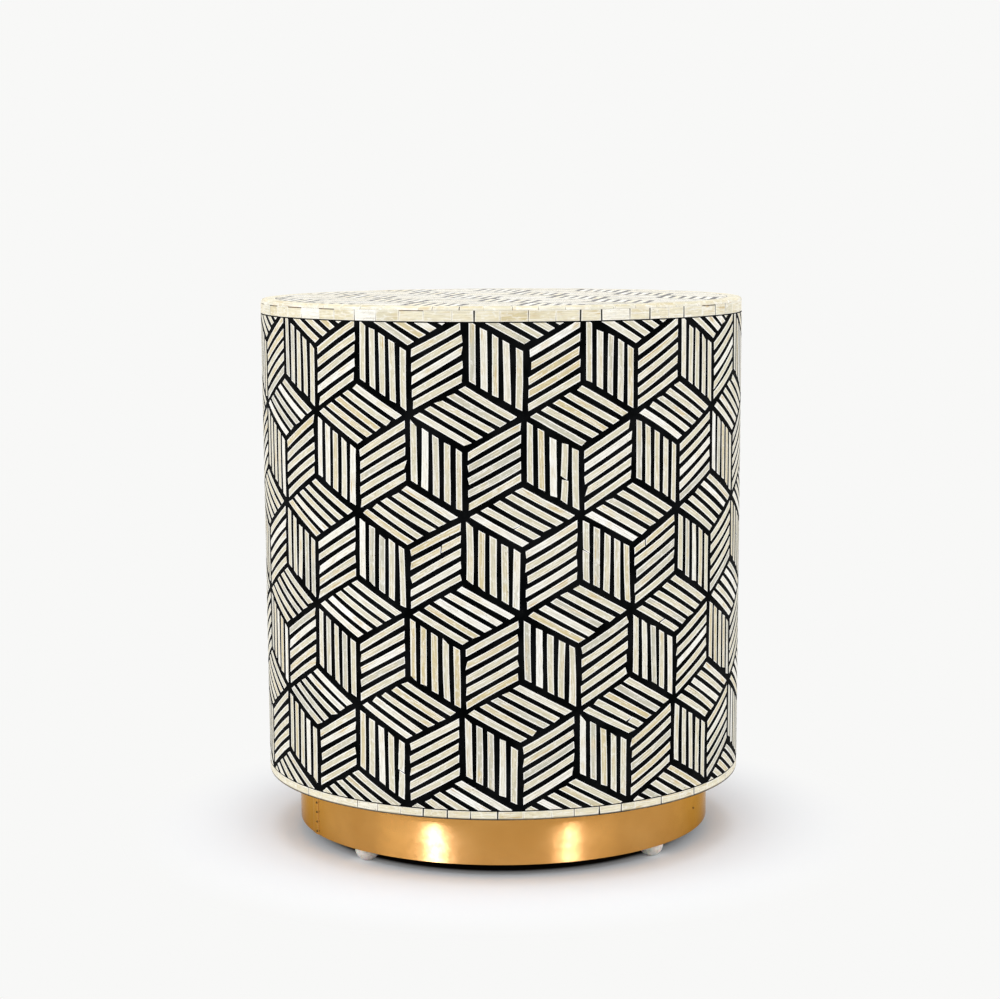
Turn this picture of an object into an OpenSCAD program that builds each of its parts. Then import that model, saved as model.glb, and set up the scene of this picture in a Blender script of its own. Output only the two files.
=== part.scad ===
// Drum side table: a tumbling block inlay of bone strips in black resin, on a plinth wrapped in brass.
// The floor is z = 0, the drum's axis is the z axis and the photographed front faces -Y.
// A turn is counted in degrees from the front, with the right-hand side positive.

/* [Table] */
// Diameter of the drum over its inlay
table_d = 400; // [360:5:440]
// Height of the tabletop above the floor
table_h = 450; // [420:5:500]

/* [Plinth] */
// Diameter of the plinth over its brass sheet
plinth_d = 349; // [330:1:355]
// Height of the plinth, from its lower edge to the drum
plinth_h = 43.5; // [38:0.5:55]
// Thickness of the lower board ring, with the upper one making up the height
lower_ring_t = 25; // [18:1:28]
// Width of the board ring inside the brass
plinth_ring_w = 26; // [24:1:32]
// Thickness of the brass sheet
brass_t = 0.8; // [0.5:0.1:1.2]
// Length of sheet that laps over its own start
lap_l = 15; // [10:1:20]
// Turn of the lap's free edge, which faces right
lap_turn = -61.5; // [-180:0.5:180]
// Pins down the lap
lap_pins = 5; // [3:1:5]
// Distance of the lowest lap pin from the sheet's lower edge
lap_pin_rise = 2.8; // [2:0.1:4]
// Distance from one lap pin to the next
lap_pin_pitch = 8.1; // [6:0.1:8.2]
// Distance from the lap's free edge to its pins
lap_pin_inset = 2; // [1.8:0.1:4]
// Turn from the lap's free edge to the next lone pin round the sheet
lone_pin_turn = 126.5; // [100:0.5:130]
// Diameter of a brass pin's shank
pin_d = 1.2; // [1:0.1:1.6]
// Diameter of a brass pin's round head
pin_head_d = 2; // [1.8:0.1:3]
// Length of a brass pin below its head
pin_l = 12; // [8:1:16]

/* [Glides] */
// Glides under the plinth
glides = 4; // [3, 4, 6]
// Diameter of a glide
glide_d = 20; // [16:1:24]
// Height of a glide below the plinth
glide_h = 10; // [7:0.5:12]
// Height of a glide's straight rim
glide_rim_h = 2; // [1:0.5:3]
// Diameter of the worn flat under a glide
glide_flat_d = 8; // [6:1:10]
// Turn of the first glide
glide_turn = -42.6; // [-90:0.1:90]
// Diameter of a glide's nail
nail_d = 2.4; // [2:0.1:3]
// Diameter of the nail's head, inside the glide
nail_head_d = 7; // [5:0.5:8]
// Thickness of the nail's head
nail_head_t = 1.2; // [1:0.1:1.5]
// Depth of the nail in the plinth
nail_grip = 18; // [12:1:24]

/* [Drum carcass] */
// Thickness of the top and bottom panels
panel_t = 18; // [15:1:22]
// Thickness of the bent plywood wall
wall_t = 6; // [4:0.5:8]
// Uprights between the panels
uprights = 8; // [6:1:10]
// Width of an upright along the wall
upright_w = 30; // [24:1:40]
// Depth of an upright towards the axis
upright_depth = 34; // [30:1:40]
// Turn of the first upright
upright_turn = 8; // [6:1:10]
// Thickness of the former ring at mid-height
former_t = 18; // [12:1:22]
// Width of the former ring
former_w = 60; // [50:1:80]
// Width of the seam where the bent wall's ends meet, at the back
wall_seam = 0.3; // [0.2:0.1:0.6]
// Clearance between pieces that slip together
slip = 0.1; // [0.05:0.05:0.2]

/* [Screws] */
// Diameter of a panel screw
panel_screw_d = 4.5; // [4:0.5:5]
// Length of a panel screw
panel_screw_l = 50; // [40:5:60]
// Distance from an upright's inner face to its screws
panel_screw_inset = 10; // [8:0.5:14]
// Screws through the plinth ring into the drum
plinth_screws = 6; // [4, 6, 8]
// Diameter of a plinth screw
plinth_screw_d = 5; // [4.5:0.5:6]
// Length of a plinth screw
plinth_screw_l = 50; // [45:1:55]
// Depth of the hole that sinks a plinth screw's head
plinth_sink = 8; // [6:0.5:10]
// Turn from the first glide to the first plinth screw
plinth_screw_turn = 15; // [13:1:17]
// Head diameter of a screw, as a share of its thread
screw_head_share = 2; // [1.8:0.05:2.2]
// Width of the slot across a screw's head
slot_w = 1.1; // [0.8:0.1:1.4]
// Depth of the slot
slot_depth = 1.3; // [1:0.1:1.6]

/* [Inlay] */
// Thickness of the black resin on the wall
ground_t = 4; // [3.6:0.1:5]
// Thickness of the black resin on the tabletop
top_ground_t = 3; // [2.6:0.1:4]
// Pours that the resin on the wall is cast in, one arc at a time
pours = 7; // [6:1:8]
// Hairline between one pour and the next
pour_line = 0.05; // [0.05:0.05:0.1]
// Thickness of a flat bone strip before the drum is sanded round
strip_t = 3.2; // [2.8:0.1:3.4]
// Thickness of a bone strip on the tabletop
top_strip_t = 2.4; // [2:0.1:2.5]
// Cubes around the drum
cubes_around = 14; // [12:1:16]
// Rows of cubes in the height of the inlay, from the lowest row's bottom corners
rows_high = 4.924; // [4.6:0.002:5.4]
// Height of the lowest row's bottom corners above the bottom band
first_row_rise = 1.5; // [0:0.5:10]
// Turn of the first cube in the lowest row
pattern_turn = 3.75; // [-13:0.05:13]
// Turn that each row gains on the row below, as the inlay leans
row_lean = 0.345; // [0:0.005:0.5]
// Bone strips in each face of a cube
strips = 5; // [4:1:6]
// Width of a bone strip
strip_w = 5.6; // [4.8:0.1:6]
// Black border between one face's strips and the next
face_border = 4; // [3:0.1:5]
// Black line between the inlay and the bone bands
band_line = 0.8; // [0.5:0.1:1.5]
// Turn of the cubes on the tabletop
top_pattern_turn = -10; // [-30:1:30]
// Shortest piece of strip that is worth cutting
least_piece = 5; // [4:0.5:8]

/* [Bone bands] */
// Blocks in each band
band_blocks = 63; // [50:1:72]
// Width of the joint between blocks
block_joint = 0.5; // [0.3:0.1:0.8]
// Height of the band at the drum's foot
foot_band_h = 7; // [5:0.5:10]
// Height of the band under the tabletop's edge
rim_band_h = 8.5; // [7:0.5:12]
// Width of the ring of blocks on the tabletop
edge_ring_w = 12; // [8:0.5:16]
// Radius of the tabletop's rounded edge
edge_round = 2.8; // [1:0.1:2.9]
// Turn of the foot band's first joint
foot_band_turn = -1; // [-3:0.1:3]
// Turn of the rim band's first joint
rim_band_turn = 0.2; // [-3:0.1:3]
// How far a joint strays, as a share of a block
joint_stray = 0.08; // [0:0.01:0.2]

/* [Hidden] */
$fn = 360;

// Overrun of a cutter past the face that it cuts
past = 1;

// Radii
drum_r = table_d / 2;
wall_r = drum_r - ground_t;
panel_r = wall_r - wall_t;
plinth_r = plinth_d / 2;
plinth_core_r = plinth_r - brass_t;
plinth_bore_r = plinth_core_r - plinth_ring_w;
plinth_mid_r = (plinth_core_r + plinth_bore_r) / 2;
glide_circle_r = plinth_core_r - glide_d / 2;
upright_back_r = sqrt(panel_r * panel_r - upright_w * upright_w / 4) - slip;
upright_front_r = upright_back_r - upright_depth;
panel_screw_r = upright_front_r + panel_screw_inset;
field_r = drum_r - edge_ring_w;

// Heights
upper_ring_z = glide_h + lower_ring_t;
drum_z = glide_h + plinth_h;
bottom_panel_top = drum_z + panel_t;
carcass_top = table_h - top_ground_t;
top_panel_z = carcass_top - panel_t;
former_z = (bottom_panel_top + top_panel_z - former_t) / 2;
foot_band_top = drum_z + foot_band_h;
rim_band_z = carcass_top - rim_band_h;
inlay_z = foot_band_top + band_line;
inlay_top = rim_band_z - band_line;
first_row_z = foot_band_top + first_row_rise;
first_plinth_screw = glide_turn + plinth_screw_turn;

// The cubes' template, flat: half a cube's width, its upright edge, and the rise of its slanting edges
row_pitch = (inlay_top - first_row_z) / rows_high;
cube_w = PI * table_d / cubes_around;
half_w = cube_w / 2;
edge_h = row_pitch * 2 / 3;
rise = edge_h / 2;
wall_rows = ceil(rows_high);
degrees_per_mm = 360 / (PI * table_d);

// How far the drum falls away from the middle of a strip to its edge
strip_fall = drum_r - sqrt(drum_r * drum_r - strip_w * strip_w / 4);

// A face of a cube: its first corner from the cube's lowest corner, the way its strips run, the way they stack
TOP_FACE = [[0, edge_h], [-half_w, rise], [half_w, rise]];
LEFT_FACE = [[0, 0], [0, edge_h], [-half_w, rise]];
RIGHT_FACE = [[0, 0], [half_w, rise], [0, edge_h]];
FACES = [TOP_FACE, LEFT_FACE, RIGHT_FACE];

// The joints of the three bands, which stray a little
FOOT_BAND_SEED = 3;
RIM_BAND_SEED = 11;
EDGE_RING_SEED = 29;

// Patterns

// The four corners of strip i in a face, from the cube's lowest corner
function strip_outline(face, i) =
    let (
        corner = face[0],
        along = face[1],
        across = face[2],
        area = abs(cross(along, across)),
        end = face_border / 2 * norm(across) / area,
        pitch = (area / norm(along) - face_border - strip_w) / (strips - 1),
        low = (face_border / 2 + i * pitch) * norm(along) / area,
        high = low + strip_w * norm(along) / area
    )
    [for (p = [[end, low], [1 - end, low], [1 - end, high], [end, high]]) corner + along * p.x + across * p.y];

function heights(outline) = [for (p = outline) p.y];
function moved(outline, by) = [for (p = outline) p + by];
function middle(outline) = (outline[0] + outline[2]) / 2;

// Lowest corners of the cubes on the wall, as arc length and height; row -1 shows only its top faces' tips
wall_cubes = [
    for (row = [-1 : wall_rows - 1])
        for (column = [0 : cubes_around - 1])
            [
                (column + abs(row) % 2 / 2) * cube_w + (pattern_turn + row * row_lean) / degrees_per_mm,
                first_row_z + row * row_pitch
            ]
];

// Height of an outline that lies in the inlay's zone
function height_in_zone(outline) =
    min(max(heights(outline)), inlay_top) - max(min(heights(outline)), inlay_z);

// Outlines of a face's strips on the wall, unrolled
function wall_outlines(face) = [
    for (cube = wall_cubes)
        for (i = [0 : strips - 1])
            let (outline = moved(strip_outline(face, i), cube))
            if (height_in_zone(outline) >= least_piece) outline
];

// Lowest corners of the cubes on the tabletop, in rows and columns that cover the field
top_span = ceil(field_r / row_pitch) + 1;
top_cubes = [
    for (row = [-top_span : top_span])
        for (column = [-top_span : top_span])
            [(column + abs(row) % 2 / 2) * cube_w, row * row_pitch - edge_h]
];

// Share of an outline's middle line that lies in the field, at eleven points from end to end
function share_in_field(outline) =
    let (
        first = (outline[0] + outline[3]) / 2,
        last = (outline[1] + outline[2]) / 2,
        inside = [for (t = [0 : 0.1 : 1.001]) if (norm(first + (last - first) * t) < field_r - band_line) t]
    )
    len(inside) / 11;

// Outlines of a face's strips on the tabletop
function top_outlines(face) = [
    for (cube = top_cubes)
        for (i = [0 : strips - 1])
            let (outline = moved(strip_outline(face, i), cube))
            if (share_in_field(outline) * norm(outline[1] - outline[0]) >= least_piece) outline
];

// Turns of a band's joints
function joint_turns(seed, first_turn) =
    let (stray = rands(-joint_stray, joint_stray, band_blocks, seed))
    [for (i = [0 : band_blocks - 1]) first_turn + (i + stray[i]) * 360 / band_blocks];

// How far round the circle two turns are from each other
function turn_between(a, b) = let (gap = abs(a - b) % 360) min(gap, 360 - gap);

// Shared shapes

module at(turn, r, z) {
    rotate([0, 0, turn]) translate([0, -r, z]) children();
}

module around(count, first_turn, r, z) {
    for (i = [0 : count - 1])
        at(first_turn + i * 360 / count, r, z) children();
}

module disc(r, z, h) {
    translate([0, 0, z]) cylinder(r = r, h = h);
}

module tube(r, bore_r, z, h) {
    difference() {
        disc(r, z, h);
        disc(bore_r, z - past, h + 2 * past);
    }
}

// A countersunk screw with its head's face at z = 0 and its shank down
module screw(d, l) {
    head_r = d * screw_head_share / 2;
    difference() {
        rotate([180, 0, 0]) {
            cylinder(r1 = head_r, r2 = d / 2, h = head_r - d / 2, $fn = 48);
            cylinder(d = d, h = l - d / 2, $fn = 48);
            translate([0, 0, l - d / 2]) cylinder(r1 = d / 2, r2 = 0.2, h = d / 2, $fn = 48);
        }
        translate([-head_r - past, -slot_w / 2, -slot_depth])
            cube([2 * (head_r + past), slot_w, slot_depth + past]);
    }
}

// The hole that such a screw fills
module screw_hole(d, l) {
    head_r = d * screw_head_share / 2;
    rotate([180, 0, 0]) {
        cylinder(r1 = head_r + slip, r2 = d / 2 + slip, h = head_r - d / 2, $fn = 48);
        cylinder(r = d / 2 + slip, h = l + slip, $fn = 48);
    }
}

// Plinth

module glide_nail() {
    cylinder(d = nail_d, h = glide_h - glide_rim_h + nail_grip, $fn = 32);
    cylinder(d = nail_head_d, h = nail_head_t, $fn = 32);
}

module glides() {
    flat_r = glide_flat_d / 2;
    dome_h = glide_h - glide_rim_h;
    ball_z = (pow(glide_d / 2, 2) + dome_h * dome_h - flat_r * flat_r) / (2 * dome_h);
    ball_r = sqrt(flat_r * flat_r + ball_z * ball_z);
    color("ivory")
        around(glides, glide_turn, glide_circle_r, 0)
            difference() {
                union() {
                    intersection() {
                        cylinder(d = glide_d, h = dome_h, $fn = 64);
                        translate([0, 0, ball_z]) sphere(r = ball_r, $fn = 64);
                    }
                    translate([0, 0, dome_h]) cylinder(d = glide_d, h = glide_rim_h, $fn = 64);
                }
                translate([0, 0, glide_rim_h]) glide_nail();
            }
}

module glide_nails() {
    color("silver")
        around(glides, glide_turn, glide_circle_r, glide_rim_h) glide_nail();
}

module plinth_screw_holes() {
    around(plinth_screws, first_plinth_screw, plinth_mid_r, glide_h + plinth_sink)
        rotate([180, 0, 0]) screw_hole(plinth_screw_d, plinth_screw_l);
    around(plinth_screws, first_plinth_screw, plinth_mid_r, glide_h - past)
        cylinder(r = plinth_screw_d * screw_head_share / 2 + slip, h = plinth_sink + past, $fn = 48);
}

module plinth_board(z, h) {
    color("dimgray")
        difference() {
            tube(plinth_core_r, plinth_bore_r, z, h);
            plinth_screw_holes();
            glide_nails();
            brass_pins();
        }
}

module plinth_ring_lower() {
    plinth_board(glide_h, lower_ring_t);
}

module plinth_ring_upper() {
    plinth_board(upper_ring_z, plinth_h - lower_ring_t);
}

module plinth_screws() {
    color("silver")
        around(plinth_screws, first_plinth_screw, plinth_mid_r, glide_h + plinth_sink)
            rotate([180, 0, 0]) screw(plinth_screw_d, plinth_screw_l);
}

// Where the brass pins go: a row down the lap, and two round the rest of the sheet, level with its middle pin
module at_brass_pins() {
    inset_turn = lap_pin_inset * 360 / (PI * plinth_d);
    first_z = glide_h + lap_pin_rise;
    for (i = [0 : lap_pins - 1])
        at(lap_turn - inset_turn, plinth_r + brass_t, first_z + i * lap_pin_pitch) rotate([90, 0, 0]) children();
    for (i = [1 : 2])
        at(lap_turn + i * lone_pin_turn, plinth_r, first_z + 2 * lap_pin_pitch) rotate([90, 0, 0]) children();
}

// A pin stands on its head's underside, with its shank into the plinth
module brass_pin() {
    head_h = pin_head_d / 4;
    translate([0, 0, -pin_l]) cylinder(d = pin_d, h = pin_l, $fn = 24);
    cylinder(r1 = pin_head_d / 2, r2 = pin_head_d / 4, h = head_h, $fn = 24);
}

module brass_pins() {
    color("goldenrod") at_brass_pins() brass_pin();
}

module brass_band() {
    lap_arc = lap_l * 360 / (PI * plinth_d);
    color("goldenrod")
        difference() {
            union() {
                tube(plinth_r, plinth_core_r, glide_h, plinth_h);
                translate([0, 0, glide_h])
                    rotate([0, 0, lap_turn - lap_arc - 90])
                        rotate_extrude(angle = lap_arc)
                            translate([plinth_r - brass_t / 2, 0]) square([brass_t * 3 / 2, plinth_h]);
            }
            brass_pins();
        }
}

// Drum carcass

module panel_screws(z, flip) {
    around(uprights, upright_turn, panel_screw_r, z)
        rotate([flip, 0, 0]) screw(panel_screw_d, panel_screw_l);
}

module panel_screw_holes(z, flip) {
    around(uprights, upright_turn, panel_screw_r, z)
        rotate([flip, 0, 0]) screw_hole(panel_screw_d, panel_screw_l);
}

module bottom_panel() {
    color("tan")
        difference() {
            disc(panel_r, drum_z, panel_t);
            panel_screw_holes(drum_z, 180);
            plinth_screw_holes();
        }
}

module bottom_panel_screws() {
    color("silver") panel_screws(drum_z, 180);
}

module top_panel() {
    color("tan")
        difference() {
            disc(panel_r, top_panel_z, panel_t);
            panel_screw_holes(carcass_top, 0);
        }
}

module top_panel_screws() {
    color("silver") panel_screws(carcass_top, 0);
}

// An upright's outline, grown by a clearance and run out to a radius
module upright_blanks(grown, back_r) {
    depth = back_r - upright_front_r + grown;
    around(uprights, upright_turn, back_r, bottom_panel_top)
        translate([-upright_w / 2 - grown, 0, 0])
            cube([upright_w + 2 * grown, depth, top_panel_z - bottom_panel_top]);
}

module uprights() {
    color("burlywood")
        difference() {
            upright_blanks(0, upright_back_r);
            panel_screw_holes(drum_z, 180);
            panel_screw_holes(carcass_top, 0);
        }
}

module middle_former() {
    color("tan")
        difference() {
            tube(panel_r, panel_r - former_w, former_z, former_t);
            upright_blanks(slip, panel_r + past);
        }
}

module drum_wall() {
    color("burlywood")
        difference() {
            tube(wall_r, panel_r, drum_z, carcass_top - drum_z);
            translate([-wall_seam / 2, panel_r - past, drum_z - past])
                cube([wall_seam, wall_t + 2 * past, carcass_top - drum_z + 2 * past]);
        }
}

// Inlay on the wall

// A strip's outline, cut off at the band lines
module cut_outline(outline) {
    if (min(heights(outline)) > inlay_z && max(heights(outline)) < inlay_top)
        polygon(outline);
    else
        intersection() {
            polygon(outline);
            translate([middle(outline).x - cube_w, inlay_z]) square([2 * cube_w, inlay_top - inlay_z]);
        }
}

// A strip's blank stands on its flat back, square to the drum at its middle
module wall_blank(outline, t) {
    centre = middle(outline);
    at(centre.x * degrees_per_mm, drum_r - strip_t, centre.y)
        rotate([90, 0, 0])
            linear_extrude(t) translate(-centre) cut_outline(outline);
}

// The blanks of a face that reach within an arc on either side of a turn
module wall_blanks(face, t, turn = 0, arc = 180) {
    for (outline = wall_outlines(face))
        if (turn_between(middle(outline).x * degrees_per_mm, turn) < arc + half_w * degrees_per_mm)
            wall_blank(outline, t);
}

// Each pour is an arc of resin with a pocket for every strip
module side_resin() {
    arc = 360 / pours;
    line = pour_line * degrees_per_mm;
    color("black")
        for (pour = [0 : pours - 1])
            difference() {
                rotate([0, 0, pour * arc - arc / 2 + line / 2 - 90])
                    rotate_extrude(angle = arc - line)
                        translate([wall_r, foot_band_top]) square([ground_t, rim_band_z - foot_band_top]);
                for (face = FACES) wall_blanks(face, strip_t + past, pour * arc, arc / 2);
            }
}

// Strips that run round the drum are sanded to its curve, which thins their ends
module sanded_strips(face) {
    color("ivory")
        intersection() {
            disc(drum_r, foot_band_top, rim_band_z - foot_band_top);
            wall_blanks(face, strip_t + past);
        }
}

// Upright strips are too narrow to need it: their long edges lie on the drum's surface
module upright_strips() {
    color("ivory") wall_blanks(LEFT_FACE, strip_t - strip_fall);
}

// Inlay on the tabletop

// A strip's outline, cut off at the black line round the field
module cut_top_outline(outline) {
    if (max([for (p = outline) norm(p)]) < field_r - band_line)
        polygon(outline);
    else
        intersection() {
            polygon(outline);
            circle(r = field_r - band_line);
        }
}

module top_blanks(face, h) {
    translate([0, 0, table_h - top_strip_t])
        rotate([0, 0, top_pattern_turn])
            for (outline = top_outlines(face)) linear_extrude(h) cut_top_outline(outline);
}

module tabletop_resin() {
    color("black")
        difference() {
            disc(field_r, carcass_top, top_ground_t);
            for (face = FACES) top_blanks(face, top_strip_t + past);
        }
}

module tabletop_strips(face) {
    color("ivory") top_blanks(face, top_strip_t);
}

// Bone bands

// One block for each gap between joints, from a profile of radius and height
module band_of_blocks(seed, first_turn = 0) {
    turns = joint_turns(seed, first_turn - 90);
    joint = block_joint * degrees_per_mm;
    for (i = [0 : band_blocks - 1])
        let (
            first = turns[i] + joint / 2,
            last = (i + 1 < band_blocks ? turns[i + 1] : turns[0] + 360) - joint / 2
        )
        rotate([0, 0, first]) rotate_extrude(angle = last - first) children();
}

module foot_band_blocks() {
    color("ivory")
        band_of_blocks(FOOT_BAND_SEED, foot_band_turn)
            translate([wall_r, drum_z]) square([ground_t, foot_band_h]);
}

module rim_band_blocks() {
    color("ivory")
        band_of_blocks(RIM_BAND_SEED, rim_band_turn)
            translate([wall_r, rim_band_z]) square([ground_t, rim_band_h]);
}

module tabletop_edge_blocks() {
    color("ivory")
        band_of_blocks(EDGE_RING_SEED)
            translate([drum_r, carcass_top]) {
                translate([-edge_ring_w, 0]) square([edge_ring_w - edge_round, top_ground_t]);
                translate([-edge_round - 0.01, 0]) square([edge_round + 0.01, top_ground_t - edge_round]);
                translate([-edge_round, top_ground_t - edge_round])
                    intersection() {
                        circle(r = edge_round, $fn = 48);
                        translate([-0.01, -0.01]) square(edge_round + past);
                    }
            }
}

glides();
glide_nails();
plinth_ring_lower();
plinth_ring_upper();
plinth_screws();
brass_band();
brass_pins();
bottom_panel();
bottom_panel_screws();
uprights();
middle_former();
top_panel();
top_panel_screws();
drum_wall();
side_resin();
sanded_strips(TOP_FACE);  // side_strips_top_faces
upright_strips();  // side_strips_left_faces
sanded_strips(RIGHT_FACE);  // side_strips_right_faces
foot_band_blocks();
rim_band_blocks();
tabletop_resin();
tabletop_strips(TOP_FACE);  // tabletop_strips_top_faces
tabletop_strips(LEFT_FACE);  // tabletop_strips_left_faces
tabletop_strips(RIGHT_FACE);  // tabletop_strips_right_faces
tabletop_edge_blocks();
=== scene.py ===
"""Drum side table with a tumbling block inlay of bone strips in black resin, on a plinth wrapped in brass.

The carcass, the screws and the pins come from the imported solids. The bone, the resin, the brass and the
glides are modelled here at finer detail, each in the place of the solid that it stands for. Sizes are in
millimetres in the settings and in metres in the meshes. A turn is counted from the front, which faces -Y,
with the right-hand side positive.
"""

import math
import random

import bpy
from mathutils import Matrix, Vector, noise


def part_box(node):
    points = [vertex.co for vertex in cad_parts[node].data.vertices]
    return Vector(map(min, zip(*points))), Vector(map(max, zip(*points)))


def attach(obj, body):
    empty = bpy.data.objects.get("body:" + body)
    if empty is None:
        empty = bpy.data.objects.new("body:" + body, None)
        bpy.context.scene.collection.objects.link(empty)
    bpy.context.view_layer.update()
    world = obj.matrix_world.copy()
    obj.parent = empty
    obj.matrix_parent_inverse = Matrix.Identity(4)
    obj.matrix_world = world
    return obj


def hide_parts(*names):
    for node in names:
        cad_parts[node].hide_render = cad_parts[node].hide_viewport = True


bl_info = {
    "name": "Bone inlay drum table",
    "version": (1, 0, 0),
    "blender": (4, 5, 0),
    "location": "View3D > Sidebar > Drum table",
    "description": "Dresses the drum side table: bone inlay, black resin, brass plinth, glides and stage",
    "category": "Object",
}

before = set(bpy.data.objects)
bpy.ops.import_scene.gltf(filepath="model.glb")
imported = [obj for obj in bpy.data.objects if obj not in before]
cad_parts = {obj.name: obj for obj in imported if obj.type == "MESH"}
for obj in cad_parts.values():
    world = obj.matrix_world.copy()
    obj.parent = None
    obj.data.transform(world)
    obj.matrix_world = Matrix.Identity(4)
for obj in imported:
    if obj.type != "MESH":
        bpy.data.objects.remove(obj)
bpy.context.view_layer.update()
BODY = "root"
MM = 0.001
DEGREE = math.pi / 180


def solid_size(node):
    """A solid's reach to the side, its lowest height and its highest, in millimetres."""
    low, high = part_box(node)
    return high[0] / MM, low[2] / MM, high[2] / MM


# Radii and heights in millimetres, from the solids, and the brass sheet's thickness
DRUM_R, RESIN_LOW, RESIN_TOP = solid_size("side_resin")
FIELD_R, FIELD_LOW, FIELD_TOP = solid_size("tabletop_resin")
EDGE_R, EDGE_LOW, EDGE_TOP = solid_size("tabletop_edge_blocks")
RIM_LOW = solid_size("rim_band_blocks")[1]
FOOT_LOW, FOOT_TOP = solid_size("foot_band_blocks")[1:]
BRASS_LOW, BRASS_TOP = solid_size("brass_band")[1:]
GLIDES_LOW, GLIDES_TOP = solid_size("glides")[1:]
WALL_R = solid_size("drum_wall")[0]
SHEET_T = 0.8
PLINTH_R = solid_size("plinth_ring_upper")[0] + SHEET_T

FLOOR_COLOUR = "#F0F2F6"
BACKDROP_COLOUR = "#F8F8F7"


def hex_colour(code):
    """A linear colour with alpha from an sRGB hex value."""
    parts = [int(code[i : i + 2], 16) / 255 for i in (1, 3, 5)]
    return tuple(c / 12.92 if c <= 0.04045 else ((c + 0.055) / 1.055) ** 2.4 for c in parts) + (1.0,)


def setting(name, description, default, **more):
    """A number for the panel, whole where its default is whole."""
    kind = bpy.props.IntProperty if isinstance(default, int) else bpy.props.FloatProperty
    return kind(name=name, description=description, default=default, **more)


def colour(name, description, code):
    """A colour for the panel, from its hex value."""
    kind = bpy.props.FloatVectorProperty
    return kind(name=name, description=description, default=hex_colour(code)[:3], subtype="COLOR")


class InlaySettings(bpy.types.PropertyGroup):
    """The cubes and their strips, on the wall and on the tabletop."""

    cubes_around: setting("Cubes around", "Cubes round the drum", 14, min=8)
    row_pitch: setting("Row pitch", "Height from one row of cubes to the next, in millimetres", 76.3)
    first_row_rise: setting("First row", "Height of the first row above the foot band, in millimetres", 1.5)
    pattern_turn: setting("Pattern turn", "Turn of the first cube in the lowest row, in degrees", 3.75)
    row_lean: setting("Row lean", "Turn that each row gains on the row below, in degrees", 0.345)
    top_turn: setting("Tabletop turn", "Turn of the cubes on the tabletop, in degrees", -10.0)
    strips: setting("Strips", "Bone strips in each face of a cube", 5)
    strip_w: setting("Strip width", "Width of a strip in millimetres", 5.6)
    strip_t: setting("Strip depth", "Depth of a strip on the wall in millimetres", 3.2)
    top_strip_t: setting("Tabletop strip depth", "Depth of a strip on the tabletop in millimetres", 2.4)
    face_border: setting("Face border", "Black border between two faces in millimetres", 4.0)
    band_line: setting("Band line", "Black line along the bone bands in millimetres", 0.8)
    shortest: setting("Shortest strip", "Strips cut shorter than this are left out, in millimetres", 2.0)
    proud: setting("Proud", "How far the bone stands above the resin in millimetres", 0.07)
    cracked: setting("Cracked strips", "Share of strips that are laid in two pieces", 0.03, subtype="FACTOR")


class BoneColours(bpy.types.PropertyGroup):
    """The tones of sanded bone."""

    ivory: colour("Ivory", "The common tone of the strips", "#D8D1B4")
    pale: colour("Pale", "The palest strips and the sanded edges", "#FFFDF6")
    cream: colour("Cream", "Blocks of the bone bands", "#EDE4C6")
    ochre: colour("Ochre", "Stains along the marrow side", "#CBAD69")
    honey: colour("Honey", "Warm strips", "#D4C28E")
    grey: colour("Grey", "Cool strips", "#C0BDAA")


def add_node(tree, kind, inputs=None, **settings):
    """Adds a shader node with its settings. Inputs are values, hex colours, or sockets or nodes to link."""
    made = tree.nodes.new("ShaderNode" + kind)
    for key, value in settings.items():
        setattr(made, key, value)
    for key, value in (inputs or {}).items():
        if isinstance(value, bpy.types.Node):
            value = value.outputs[0]
        if isinstance(value, bpy.types.NodeSocket):
            tree.links.new(value, made.inputs[key])
        else:
            made.inputs[key].default_value = hex_colour(value) if isinstance(value, str) else value
    return made


# A soft step is given by its value, where it starts and ends, and its results there, if not nought and one
SOFT = {"interpolation_type": "SMOOTHSTEP"}


def tinted(tree, base, tint, *step):
    """A colour with a tint over it, as much as a soft step tells."""
    share = add_node(tree, "MapRange", dict(enumerate(step)), **SOFT)
    return add_node(tree, "Mix", {0: share, 6: base, 7: tint}, data_type="RGBA").outputs[2]


def new_material(name, *noises, stretch=None):
    """A material without a shader, its tree, the place on the piece, and noises there.

    Each noise is given by its scale, detail and roughness, and by its distortion if it has one.
    """
    made = bpy.data.materials.new(name)
    made.use_nodes = True
    tree = made.node_tree
    tree.nodes.clear()
    place = add_node(tree, "TexCoord").outputs["Object"]
    if stretch:
        place = add_node(tree, "Mapping", {"Vector": place, "Scale": stretch}).outputs[0]
    given = [dict(zip(("Scale", "Detail", "Roughness", "Distortion"), values)) for values in noises]
    return made, tree, place, *(add_node(tree, "TexNoise", {"Vector": place, **inputs}) for inputs in given)


def surface(made, base, rough, relief, depth, **more):
    """Gives a material its shader, with a relief of a depth in metres.

    Rough is one roughness or a soft step, and more are other inputs, with an underscore for each space.
    """
    tree = made.node_tree
    if isinstance(rough, tuple):
        rough = add_node(tree, "MapRange", dict(enumerate(rough)), **SOFT)
    inputs = {key.replace("_", " "): value for key, value in more.items()}
    inputs["Base Color"] = base
    inputs["Roughness"] = rough
    inputs["Normal"] = add_node(tree, "Bump", {"Height": relief, "Distance": depth})
    add_node(tree, "OutputMaterial", {0: add_node(tree, "BsdfPrincipled", inputs)})
    return made


def seen_directly(tree):
    """One for a ray from the camera or from a mirror, and nought for any other."""
    ray = add_node(tree, "LightPath").outputs
    return add_node(tree, "Math", {0: ray["Is Camera Ray"], 1: ray["Is Glossy Ray"]}, operation="MAXIMUM")


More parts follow.
